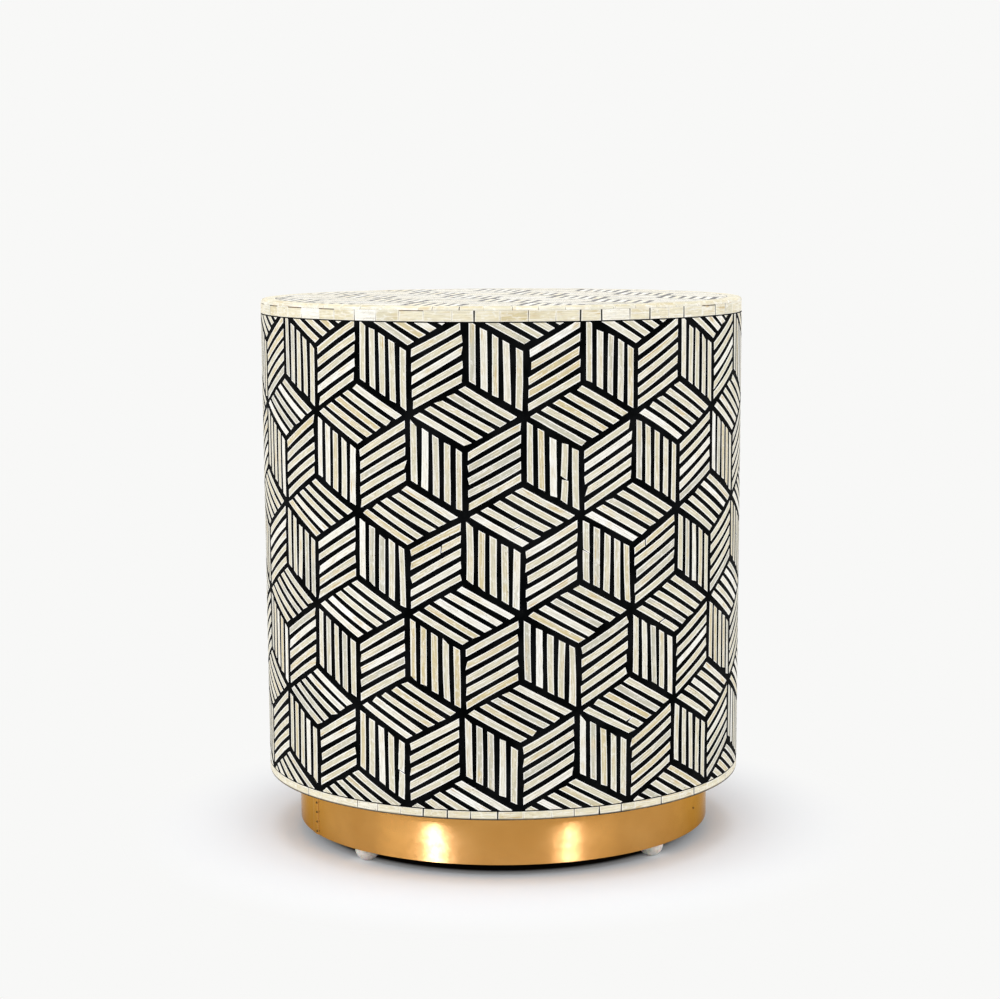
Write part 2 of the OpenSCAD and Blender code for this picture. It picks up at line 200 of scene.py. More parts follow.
def bone_material(name, colours, tones, mottle, edged=0.9, painted_shade_at=None):
    """Camel bone, sawn, sanded flush and waxed: a soft sheen, fine lengthwise fibres and small dark pores.

    Tones gives the share of pieces up to which each named colour runs, from the first to the last. Mottle
    is the strength of the warm and cool drifts, streaks and fibres, and edged how pale the sanded edges
    are. The last argument, where given, is the height in millimetres of a lower edge along which a dark
    line is painted as painted shade.

    The map called grain holds the place along and across a piece in millimetres, and the attribute half
    holds its half length and half width with a number that tells pieces apart. Pores of 0.1 mm are drawn
    0.4 mm wide so that they show.
    """
    made, tree, place = new_material(name)
    tint = {key: (*getattr(colours, key), 1.0) for key in colours.__annotations__}
    grain = add_node(tree, "SeparateXYZ", {0: add_node(tree, "UVMap", uv_map="grain")}).outputs
    tone = add_node(tree, "SeparateColor", {0: add_node(tree, "Attribute", attribute_name="tone")}).outputs
    half = add_node(tree, "Attribute", attribute_name="half").outputs["Vector"]
    number = add_node(tree, "SeparateXYZ", {0: half}).outputs[2]
    seed = add_node(tree, "Math", {0: number, 1: 7.31}, operation="MULTIPLY")
    own = add_node(tree, "CombineXYZ", {0: grain[0], 1: grain[1], 2: seed})

    def noise_along(along, across, scale, detail, roughness=0.55):
        """A noise on a piece's own place, stretched along its grain."""
        stretched = add_node(tree, "VectorMath", {0: own, 1: (along, across, 1.0)}, operation="MULTIPLY")
        inputs = {"Vector": stretched, "Scale": scale, "Detail": detail, "Roughness": roughness}
        return add_node(tree, "TexNoise", inputs)

    ramp = add_node(tree, "ValToRGB", {0: tone[0]})
    stops = ramp.color_ramp.elements
    stops[0].position, stops[1].position = tones[0][0], tones[-1][0]
    for position, _ in tones[1:-1]:
        stops.new(position)
    for stop, (_, key) in zip(stops, tones):
        stop.color = tint[key]

    # Slow drifts of tone run along a piece, streaks about a millimetre wide run its length, and some
    # pieces have ochre stains
    base = ramp.outputs[0]
    streak = noise_along(0.045, 0.85, 1.0, 2.0)
    stains = add_node(tree, "MapRange", {0: tone[1], 1: 0.55, 2: 0.75, 4: 0.8}, **SOFT)
    for key, *step in (
        ("honey", noise_along(0.05, 0.09, 1.0, 2.0), 0.46, 0.72, 0.0, 0.7 * mottle),
        ("grey", noise_along(0.07, 0.16, 1.7, 2.0), 0.54, 0.76, 0.0, 0.3 * mottle),
        ("pale", noise_along(0.11, 0.2, 2.3, 2.0), 0.52, 0.7, 0.0, 0.5),
        ("pale", streak, 0.5, 0.66, 0.0, 0.5),
        ("grey", streak, 0.34, 0.46, 0.35 * mottle, 0.0),
        ("ochre", noise_along(0.05, 0.5, 1.0, 2.0), 0.56, 0.7, 0.0, stains),
    ):
        base = tinted(tree, base, tint[key], *step)

    # Fibres 0.5 mm apart
    fibre = noise_along(0.12, 2.0, 1.0, 4.0, 0.6)
    base = tinted(tree, base, "#A7977A", fibre, 0.42, 0.66, 0.0, 0.34 * mottle)

    # Sanded edges are paler, and the saw's corner holds a trace of resin. The distance from the edge, in
    # millimetres, has up to half a millimetre of noise on it
    reach = add_node(tree, "VectorMath", {0: own}, operation="ABSOLUTE")
    inward = add_node(tree, "VectorMath", {0: half, 1: reach}, operation="SUBTRACT")
    inward = add_node(tree, "SeparateXYZ", {0: inward}).outputs
    inward = add_node(tree, "Math", {0: inward[0], 1: inward[1]}, operation="MINIMUM")
    ragged = noise_along(0.5, 0.5, 2.0, 3.0)
    inward = add_node(tree, "Math", {0: ragged, 1: 0.5, 2: inward}, operation="MULTIPLY_ADD")
    base = tinted(tree, base, tint["pale"], inward, 0.75, 1.35, edged, 0.0)
    base = tinted(tree, base, "#5C5443", inward, 0.1, 0.3, 0.5, 0.0)

    pores = noise_along(0.55, 1.7, 1.3, 1.0, 0.4)
    base = tinted(tree, base, "#6B4F31", pores, 0.705, 0.76, 0.0, tone[2])
    # Painted shade: a dark brown line along the lowest millimetre or so of the block, under the band's edge
    if painted_shade_at is not None:
        height = add_node(tree, "SeparateXYZ", {0: place}).outputs[2]
        base = tinted(tree, base, "#35250F", height, (painted_shade_at + 0.4) * MM, (painted_shade_at + 1.3) * MM, 0.92, 0.0)
    pits = add_node(tree, "MapRange", {0: pores, 1: 0.705, 2: 0.76, 4: -1.0}, **SOFT)
    relief = add_node(tree, "Math", {0: fibre, 1: 0.35, 2: pits}, operation="MULTIPLY_ADD")
    return surface(made, base, (fibre, 0.3, 0.7, 0.36, 0.5), relief, 0.00008, IOR=1.54)


def resin_material(name, dark, light, gloss, wax=0.0):
    """Polyester resin with black pigment, sanded with the bone: near black, with a dull sheen.

    Bone dust and pinholes under 0.2 mm show as faint grey specks, drawn 0.6 mm wide, and sanding marks
    take most of the shine. Dark and light are the two tones of its drifts, and wax is how much of the
    surface shines at a low angle.
    """
    noises = ((38.0, 4.0, 0.55), (900.0, 2.0, 0.5), (650.0, 3.0, 0.6))
    made, tree, _, cloud, speck, grit = new_material(name, *noises)
    base = tinted(tree, dark, light, cloud, 0.35, 0.7)
    base = tinted(tree, base, "#1E2022", speck, 0.62, 0.78, 0.0, 0.55)
    rough = (speck, 0.3, 0.75, 0.68, 0.82)
    shine = {"Specular_IOR_Level": gloss, "Coat_Weight": wax, "Coat_Roughness": 0.3}
    return surface(made, base, rough, grit, 0.00008, IOR=1.5, **shine)


def joint_material():
    """Glue and resin in the joints between bone blocks: brown where it is thin, black where it is deep.

    The attribute deep is one at the wide joints and nought at the thin ones.
    """
    noises = ((150.0, 2.0, 0.55), (1500.0, 3.0, 0.55))
    made, tree, _, patch, grit = new_material("joint_glue_and_resin", *noises)
    deep = add_node(tree, "Attribute", attribute_name="deep").outputs["Fac"]
    thin = tinted(tree, "#3A2A18", "#7A6040", patch, 0.42, 0.58)
    return surface(made, tinted(tree, thin, "#060504", deep, 0.35, 0.65), 0.7, grit, 0.00006)


def brass_material():
    """Brass sheet, polished along its length and lacquered: the polishing lines stretch highlights upright.

    The lines are a few hundredths of a millimetre apart, too fine to show, so anisotropy stands for them.
    """
    noises = ((14.0, 3.0, 0.55), (160.0, 4.0, 0.65))
    made, tree, _, cloud, mark = new_material("lacquered_brass_sheet", *noises)
    base = tinted(tree, "#C89450", "#BE8945", cloud, 0.35, 0.68)
    base = tinted(tree, base, "#A87538", mark, 0.6, 0.78, 0.0, 0.1)
    lines = {
        "Anisotropic": 0.96,
        "Anisotropic_Rotation": 0.25,
        "Tangent": add_node(tree, "Tangent", direction_type="RADIAL", axis="Z"),
    }
    rough = (mark, 0.3, 0.75, 0.19, 0.23)
    return surface(made, base, rough, mark, 0.000006, Metallic=1.0, Specular_Tint="#EAD3AC", **lines)


def pin_material():
    """Brass pins left unpolished: brown with tarnish, in patches of a brighter brown."""
    made, tree, _, patch = new_material("tarnished_brass_pin", (700.0, 3.0, 0.55))
    base = tinted(tree, "#59431F", "#8C6A38", patch, 0.4, 0.7)
    return surface(made, base, (patch, 0.3, 0.7, 0.45, 0.65), patch, 0.00003, Metallic=0.7)


def nylon_material():
    """Moulded white nylon: slightly see-through, with a soft gloss and scuffs where it slides."""
    made, tree, _, scuff = new_material("moulded_white_nylon", (420.0, 4.0, 0.65))
    base = tinted(tree, "#EAE4DA", "#C5BDB0", scuff, 0.45, 0.75)
    depth = {"Subsurface_Weight": 0.3, "Subsurface_Scale": 0.004}
    return surface(made, base, (scuff, 0.4, 0.7, 0.3, 0.5), scuff, 0.00003, IOR=1.53, **depth)


def wood_material(name, dark, light, rings, stretch):
    """Raw timber or board: grain bands with fine fibres, dull all over."""
    noises = ((rings, 3.0, 0.6, 0.6), (rings * 9, 4.0, 0.7))
    made, tree, _, bands, fibres = new_material(name, *noises, stretch=stretch)
    base = tinted(tree, dark, light, bands, 0.3, 0.7)
    base = tinted(tree, base, dark, fibres, 0.55, 0.8, 0.0, 0.45)
    return surface(made, base, (fibres, 0.3, 0.7, 0.62, 0.82), fibres, 0.0001)


def steel_material():
    """Zinc plated steel: pale grey with a faint yellow and blue cast from the plating."""
    made, tree, _, cast = new_material("zinc_plated_steel", (300.0, 3.0, 0.55))
    base = tinted(tree, "#B9BCC2", "#C4BFA9", cast, 0.35, 0.65)
    return surface(made, base, (cast, 0.3, 0.7, 0.28, 0.42), cast, 0.00002, Metallic=1.0)


def floor_material():
    """A pale studio sweep that keeps shadows near the table and fades to an even backdrop further off.

    Its colour is painted near black under the plinth, as painted shade for the gap of the glides, and a
    little darker and cooler close round it, against the warm light that the brass throws there. Seen
    directly, the floor outside the dark disc glows faintly with the backdrop's colour: painted light.
    """
    made, tree, place = new_material("studio_sweep")
    flat = add_node(tree, "VectorMath", {0: place, 1: (1.0, 1.0, 0.0)}, operation="MULTIPLY")
    away = add_node(tree, "VectorMath", {0: flat}, operation="LENGTH").outputs["Value"]
    dark_to, lit_from = PLINTH_R * MM - 0.021, PLINTH_R * MM - 0.013
    # Painted tint: a little darker and cooler close round the plinth, against the warm light that the brass
    # throws on the floor
    near = tinted(tree, "#EBEFF4", FLOOR_COLOUR, away, 0.185, 0.24)
    # Painted shade: the floor is coloured near black under the plinth
    base = tinted(tree, "#2C241D", near, away, dark_to, lit_from)
    dull = {"Base Color": base, "Roughness": 0.9, "Specular IOR Level": 0.1}
    shader = add_node(tree, "BsdfPrincipled", dull)
    # Painted light: outside the dark disc, the floor seen directly mixes in a faint glow of the backdrop's
    # colour
    fill = add_node(tree, "MapRange", {0: away, 1: dark_to, 2: lit_from, 4: 0.07}, **SOFT)
    even = add_node(tree, "MapRange", {0: away, 1: 0.2, 2: 0.33}, **SOFT)
    even = add_node(tree, "Math", {0: fill, 1: even}, operation="MAXIMUM")
    even = add_node(tree, "Math", {0: even, 1: seen_directly(tree)}, operation="MULTIPLY")
    glow = add_node(tree, "Emission", {"Color": BACKDROP_COLOUR, "Strength": 1.0})
    add_node(tree, "OutputMaterial", {0: add_node(tree, "MixShader", {0: even, 1: shader, 2: glow})})
    return made


def deselect():
    """Leaves object mode with nothing selected."""
    if bpy.context.object and bpy.context.object.mode != "OBJECT":
        bpy.ops.object.mode_set(mode="OBJECT")
    bpy.ops.object.select_all(action="DESELECT")


def activate(piece):
    """Makes one piece the only one selected."""
    deselect()
    piece.select_set(True)
    bpy.context.view_layer.objects.active = piece


def work_edges(piece, test, tool, **values):
    """Uses an edit mode tool on the edges whose two ends pass a test."""
    bpy.ops.object.mode_set(mode="EDIT")
    bpy.ops.mesh.select_mode(type="EDGE")
    bpy.ops.mesh.select_all(action="DESELECT")
    bpy.ops.object.mode_set(mode="OBJECT")
    points = piece.data.vertices
    for edge in piece.data.edges:
        edge.select = test(*(points[i].co for i in edge.vertices))
    bpy.ops.object.mode_set(mode="EDIT")
    tool(**values)
    bpy.ops.object.mode_set(mode="OBJECT")


def work_all(piece, *steps):
    """Uses edit mode tools on all of a piece, each given with its values."""
    activate(piece)
    bpy.ops.object.mode_set(mode="EDIT")
    bpy.ops.mesh.select_mode(type="VERT")
    for tool, values in steps:
        bpy.ops.mesh.select_all(action="SELECT")
        tool(**values)
    bpy.ops.object.mode_set(mode="OBJECT")


# The finishes by short names, which make_materials fills in
materials = {}


def finish_piece(piece, name, material, nodes, angle=30.0):
    """Turns a piece's faces outwards, names it, gives it its finish, and puts it in its solids' place."""
    activate(piece)
    bpy.ops.object.transform_apply(location=True, rotation=True, scale=True)
    work_all(piece, (bpy.ops.mesh.normals_make_consistent, {}))
    piece.name = name
    piece.data.name = name
    piece.data.materials.clear()
    piece.data.materials.append(materials[material])
    bpy.ops.object.shade_smooth_by_angle(angle=angle * DEGREE)
    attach(piece, BODY)
    if nodes:
        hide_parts(*nodes)


def copy_of(piece):
    """A copy with its own mesh."""
    copy = piece.copy()
    copy.data = piece.data.copy()
    bpy.context.scene.collection.objects.link(copy)
    return copy


def joined(pieces):
    """Many copies as one piece."""
    deselect()
    for piece in pieces:
        piece.select_set(True)
    bpy.context.view_layer.objects.active = pieces[0]
    bpy.ops.object.join()
    return bpy.context.object


def cut_off(piece, point, normal):
    """Cuts a piece off at a plane and closes it. The normal points at what goes."""
    plane = {"plane_co": point, "plane_no": normal, "threshold": 0.000001}
    work_all(piece, (bpy.ops.mesh.bisect, {**plane, "use_fill": True, "clear_outer": True}))


def place_at(turn, r, z):
    """A place in metres, from a turn in radians and a radius and a height in millimetres."""
    return r * math.sin(turn) * MM, -r * math.cos(turn) * MM, z * MM


def turn_of(place):
    """The turn of a place in radians."""
    return math.atan2(place.x, -place.y)


def spun(profile, steps, closed=True):
    """A ring or dome from a profile of radius and height in millimetres, spun round the drum's axis."""
    deselect()
    bpy.ops.mesh.primitive_plane_add(size=1, location=(0, 0, 0))
    piece = bpy.context.object
    work_all(piece, (bpy.ops.mesh.delete, {"type": "VERT"}))
    mesh = piece.data
    count = len(profile)
    mesh.vertices.add(count)
    for vertex, (r, z) in zip(mesh.vertices, profile):
        vertex.co = (r * MM, 0, z * MM)
    ends = [(i, (i + 1) % count) for i in range(count if closed else count - 1)]
    mesh.edges.add(len(ends))
    for edge, pair in zip(mesh.edges, ends):
        edge.vertices = pair
    mesh.update()
    turn = {"steps": steps, "angle": 2 * math.pi, "center": (0, 0, 0), "axis": (0, 0, 1)}
    work_all(piece, (bpy.ops.mesh.spin, turn), (bpy.ops.mesh.remove_doubles, {"threshold": 0.000005}))
    return piece


# A blank is a bar of bone that is modelled once, and copied for each strip or block. Its places run from -1
# to 1 along and across. Past END they are at an end and past CORNER at a corner, and above BACK, a height
# in millimetres, they are at the sanded face
END, CORNER, BACK = 0.97, 0.8, -0.5
STRIP_L, BLOCK_L = 46.0, 20.0


def bar(length, width, depth):
    """A bar along X in millimetres, with its top at nought."""
    deselect()
    bpy.ops.mesh.primitive_cube_add(size=1, location=(0, 0, -depth / 2))
    made = bpy.context.object
    made.scale = (length, width, depth)
    bpy.ops.object.transform_apply(location=True, rotation=True, scale=True)
    return made


def as_blank(blank, length, width):
    """Brings a bar to unit length and width, with the map and the attributes that its finish reads."""
    mesh = blank.data
    for vertex in mesh.vertices:
        vertex.co.x /= length
        vertex.co.y /= width
    while mesh.uv_layers:
        mesh.uv_layers.remove(mesh.uv_layers[0])
    mesh.uv_layers.new(name="grain")
    mesh.attributes.new("tone", "FLOAT_COLOR", "POINT")
    mesh.attributes.new("half", "FLOAT_VECTOR", "POINT")
    return blank


def sawn_blank(length, width, depth, cuts, ease):
    """A blank with softened top edges, cut across so that it can follow a curve."""
    blank = bar(length, width, depth)
    bevel, subdivide = bpy.ops.mesh.bevel, bpy.ops.mesh.subdivide
    work_edges(blank, lambda a, b: min(a.z, b.z) > -ease / 4, bevel, offset=ease, segments=1, affect="EDGES")
    reach = length / 2 - ease * 1.01
    work_edges(blank, lambda a, b: abs(a.x - b.x) > reach and a.x * b.x < 0, subdivide, number_cuts=cuts)
    return as_blank(blank, length, width)


def laid(blank, shape, place, tone, half):
    """A copy of a blank, laid on the table.

    Shape gives its flat outline, place puts that on the table, and tone and half are for the bone.
    """
    copy = copy_of(blank)
    mesh = copy.data
    flat = [shape(v.co) for v in mesh.vertices]
    for vertex, (x, y, z, _, _) in zip(mesh.vertices, flat):
        vertex.co = place(x, y, z)
    grain = mesh.uv_layers["grain"].data
    for loop in mesh.loops:
        grain[loop.index].uv = flat[loop.vertex_index][3:5]
    count = len(mesh.vertices)
    mesh.attributes["tone"].data.foreach_set("color", list(tone) * count)
    mesh.attributes["half"].data.foreach_set("vector", list(half) * count)
    return copy


class Template:
    """The flat tumbling block pattern that the wall and the tabletop share."""

    def __init__(self, settings):
        self.settings = settings
        self.cube_w = 2 * math.pi * DRUM_R / settings.cubes_around
        self.edge_h = settings.row_pitch * 2 / 3
        slant_left = Vector((-self.cube_w / 2, self.edge_h / 2))
        slant_right = Vector((self.cube_w / 2, self.edge_h / 2))
        upright, lowest = Vector((0, self.edge_h)), Vector((0, 0))
        self.faces = {
            "top": (upright, slant_left, slant_right),
            "left": (lowest, upright, slant_left),
            "right": (lowest, slant_right, upright),
        }

    def spans(self, face, index):
        """Where a strip lies in a face, by its number: the shares that it spans along and across."""
        _, along, across = self.faces[face]
        area = abs(along.x * across.y - along.y * across.x)
        border, width = self.settings.face_border, self.settings.strip_w
        end = border / 2 * across.length / area
        pitch = (area / along.length - border - width) / (self.settings.strips - 1)
        low = (border / 2 + index * pitch) * along.length / area
        return end, 1 - end, low, low + width * along.length / area

    def corner(self, row, column, right, up):
        """The lowest corner of a cube, moved to the right and up by two lengths."""
        x = (column + abs(row) % 2 / 2) * self.cube_w + right
        return Vector((x, row * self.settings.row_pitch + up))

    def wall_cubes(self, high):
        """Lowest corners of the cubes up to a height on the wall, as arc length and height."""
        s = self.settings
        first = RESIN_LOW + s.first_row_rise
        for row in range(-1, math.ceil((high - first) / s.row_pitch)):
            turn = (s.pattern_turn + row * s.row_lean) * DEGREE
            for column in range(s.cubes_around):
                yield self.corner(row, column, turn * DRUM_R, first)

    def top_cubes(self):
        """Lowest corners of the cubes that cover the tabletop."""
        span = math.ceil(FIELD_R / self.settings.row_pitch) + 1
        for row in range(-span, span + 1):
            for column in range(-span, span + 1):
                yield self.corner(row, column, 0.0, -self.edge_h)


def hand_of(chance, cracked):
    """How the maker's hand left one strip: its trims, taper, bow, set and tone. Lengths are in millimetres.

    The order of the draws gives the same strips each time.
    """

    def now_and_then(share, low, high):
        """A number between two others for a share of the strips, and nought for the rest."""
        return chance.uniform(low, high) if chance.random() < share else 0.0

    return {
        "trim": [chance.uniform(0.0, 0.5) + now_and_then(0.1, 0.4, 2.0) for _ in range(2)],
        "width": chance.uniform(0.92, 0.995) - (0.08 if chance.random() < 0.12 else 0.0),
        "taper": chance.gauss(0, 0.03),
        "bow": chance.gauss(0, 0.18),
        "swing": chance.gauss(0, 0.26),
        "shift": chance.gauss(0, 0.16),
        "skew": [chance.gauss(0, 0.07) + now_and_then(0.08, -0.5, 0.5) for _ in range(2)],
        "chips": [now_and_then(0.17, 0.35, 1.1) for _ in range(4)],
        "wave": chance.uniform(0.04, 0.13) + (0.25 if chance.random() < 0.07 else 0.0),
        "wave_seed": chance.uniform(0, 500),
        "tilt": (chance.gauss(0, 0.02), chance.gauss(0, 0.012)),
        "tone": (chance.random(), chance.random(), 1.0 if chance.random() < 0.4 else 0.25, 1.0),
        "seed": chance.uniform(0, 40),
        "crack": now_and_then(cracked, 0.25, 0.75),
    }


def strip_shape(face, spans, corner, hand, proud, part=(0.0, 1.0)):
    """The outline of one strip by hand: turns a place on the unit blank into flat millimetres and grain."""
    first_corner, along, across = face
    start, end, low, high = spans
    length = along.length
    width = (high - low) * abs(along.x * across.y - along.y * across.x) / length
    start, end = start + hand["trim"][0] / length, end - hand["trim"][1] / length
    start, end = start + (end - start) * part[0], start + (end - start) * part[1]
    middle, per_mm = (low + high) / 2, (high - low) / width
    farthest_off, least_proud = width / 2 + 0.8, 0.055

    def shape(co):
        x, y = co.x * 2, co.y * 2
        wide = hand["width"] + x * hand["taper"]
        wave = noise.noise(Vector((x * 2.6, y * 3.1, hand["wave_seed"]))) * hand["wave"]
        drift = hand["shift"] + hand["swing"] * x + hand["bow"] * (x * x - 0.4)
        off = max(-farthest_off, min(farthest_off, y * wide * width / 2 + wave + drift))
        s = start + (end - start) * (x + 1) / 2
        if abs(x) > END:
            side = 0 if x < 0 else 1
            s += hand["skew"][side] * y * width / 2 / length
            if abs(y) > CORNER:
                s += (1 - 2 * side) * hand["chips"][side * 2 + (y > 0)] / length
        flat = corner + first_corner + along * s + across * (middle + off * per_mm)
        tilted = y * hand["tilt"][0] + x * hand["tilt"][1]
        z = co.z + max(least_proud, proud + tilted) if co.z > BACK else co.z
        return flat.x, flat.y, z, (s - (start + end) / 2) * length, off - drift

    return shape, ((end - start) * length / 2, width * hand["width"] / 2, hand["seed"])


def on_wall(middle, depth):
    """Puts flat places on the drum: the top follows the curve, and the bottom is flat."""

    def place(x, y, z):
        turn, r = x / DRUM_R, DRUM_R + z
        if z < BACK:
            r = (DRUM_R - depth + 0.02) / math.cos(turn - middle / DRUM_R)
        return place_at(turn, r, y)

    return place


def on_top(turn):
    """Puts flat places on the tabletop, turned with the pattern."""
    c, s = math.cos(turn), math.sin(turn)

    def place(x, y, z):
        return (x * c - y * s) * MM, (x * s + y * c) * MM, (FIELD_TOP + z) * MM

    return place


def lay_faces(template, cubes, lay, seed, names, finish):
    """Lays the strips of every cube, and joins the strips of all faces that look the same way."""
    chance = random.Random(seed)
    for face, sides in template.faces.items():
        strips = []
        for corner in cubes:
            for index in range(template.settings.strips):
                spans, hand = template.spans(face, index), hand_of(chance, template.settings.cracked)
                strips += lay(sides, corner, spans, hand)
        name, solid = (f"{start}_{face}_faces" for start in names)
        finish_piece(joined(strips), name, finish, [solid], 25)


class TABLE_OT_wall_inlay(bpy.types.Operator):
    """Lays the bone strips round the drum, one piece for each way that the cubes' faces look"""

    bl_idname = "table.wall_inlay"
    bl_label = "Wall inlay"

    def execute(self, context):
        s = context.scene.table_inlay
        template = Template(s)
        blank = sawn_blank(STRIP_L, s.strip_w, s.strip_t, 7, 0.22)
        low, high = RESIN_LOW + s.band_line, RESIN_TOP - s.band_line
        gap = 0.004

        def lay(sides, corner, spans, hand):
            """A strip, in two pieces if it is cracked, and sawn off where it reaches a bone band."""
            shares = [(a, b) for a in spans[:2] for b in spans[2:]]
            corners = [corner + sides[0] + sides[1] * a + sides[2] * b for a, b in shares]
            bottom, top = min(c.y for c in corners), max(c.y for c in corners)
            if min(top, high) - max(bottom, low) < s.shortest:
                return
            parts = [(0.0, 1.0)]
            if hand["crack"] and low < bottom and top < high:
                parts = [(0.0, hand["crack"] - gap), (hand["crack"] + gap, 1.0)]
            place = on_wall((corners[0] + corners[3]).x / 2, s.strip_t)
            for part in parts:
                shape, half = strip_shape(sides, spans, corner, hand, s.proud, part)
                strip = laid(blank, shape, place, hand["tone"], half)
                if bottom < low:
                    cut_off(strip, (0, 0, low * MM), (0, 0, -1))
                if top > high:
                    cut_off(strip, (0, 0, high * MM), (0, 0, 1))
                yield strip

        cubes = list(template.wall_cubes(high))
        lay_faces(template, cubes, lay, 41, ("wall_inlay", "side_strips"), "bone")
        bpy.data.objects.remove(blank)
        return {"FINISHED"}


class TABLE_OT_top_inlay(bpy.types.Operator):
    """Lays the bone strips in the tabletop and saws them off along the ring of edge blocks"""

    bl_idname = "table.top_inlay"
    bl_label = "Tabletop inlay"

    def execute(self, context):
        s = context.scene.table_inlay
        template = Template(s)
        blank = sawn_blank(STRIP_L, s.strip_w, s.top_strip_t, 3, 0.22)
        limit = FIELD_R - s.band_line
        place = on_top(s.top_turn * DEGREE)

        def lay(sides, corner, spans, hand):
            """A strip, if enough of the points along its middle lie inside the ring."""
            middle, reach = (spans[2] + spans[3]) / 2, spans[1] - spans[0]
            shares = [spans[0] + reach * i / 10 for i in range(11)]
            line = [corner + sides[0] + sides[1] * share + sides[2] * middle for share in shares]
            inside = sum(p.length < limit for p in line) / len(line)
            if inside * reach * sides[1].length < s.shortest:
                return
            shape, half = strip_shape(sides, spans, corner, hand, s.proud)
            strip = laid(blank, shape, place, hand["tone"], half)
            if max(v.co.xy.length for v in strip.data.vertices) / MM > limit:
                self.saw_to_ring(strip, limit)
            yield strip

        cubes = list(template.top_cubes())
        lay_faces(template, cubes, lay, 97, ("tabletop_inlay", "tabletop_strips"), "top_bone")
        bpy.data.objects.remove(blank)
        return {"FINISHED"}

    def saw_to_ring(self, strip, limit):
        """Straight cuts close to each other follow the ring."""
        places = [v.co for v in strip.data.vertices]
        middle = Vector((sum(p.x for p in places), sum(p.y for p in places)))
        centre = math.atan2(middle.y, middle.x)
        offsets = [math.remainder(math.atan2(p.y, p.x) - centre, 2 * math.pi) for p in places]
        step = 3 * DEGREE
        for i in range(math.floor(min(offsets) / step), math.ceil(max(offsets) / step) + 1):
            turn = centre + i * step
            out = Vector((math.cos(turn), math.sin(turn), 0))
            cut_off(strip, out * limit * MM, out)


class TABLE_OT_resin(bpy.types.Operator):
    """Casts the black resin on the wall and the tabletop, close round every strip"""

    bl_idname = "table.resin"
    bl_label = "Black resin"

    def execute(self, context):
        profile = [(WALL_R, RESIN_LOW), (DRUM_R, RESIN_LOW), (DRUM_R, RESIN_TOP), (WALL_R, RESIN_TOP)]
        finish_piece(spun(profile, 720), "wall_resin", "resin", ["side_resin"])
        profile = [(0.0, FIELD_LOW), (FIELD_R, FIELD_LOW), (FIELD_R, FIELD_TOP), (0.0, FIELD_TOP)]
        top = spun(profile, 360, closed=False)
        finish_piece(top, "tabletop_black_resin", "top_resin", ["tabletop_resin"])
        return {"FINISHED"}


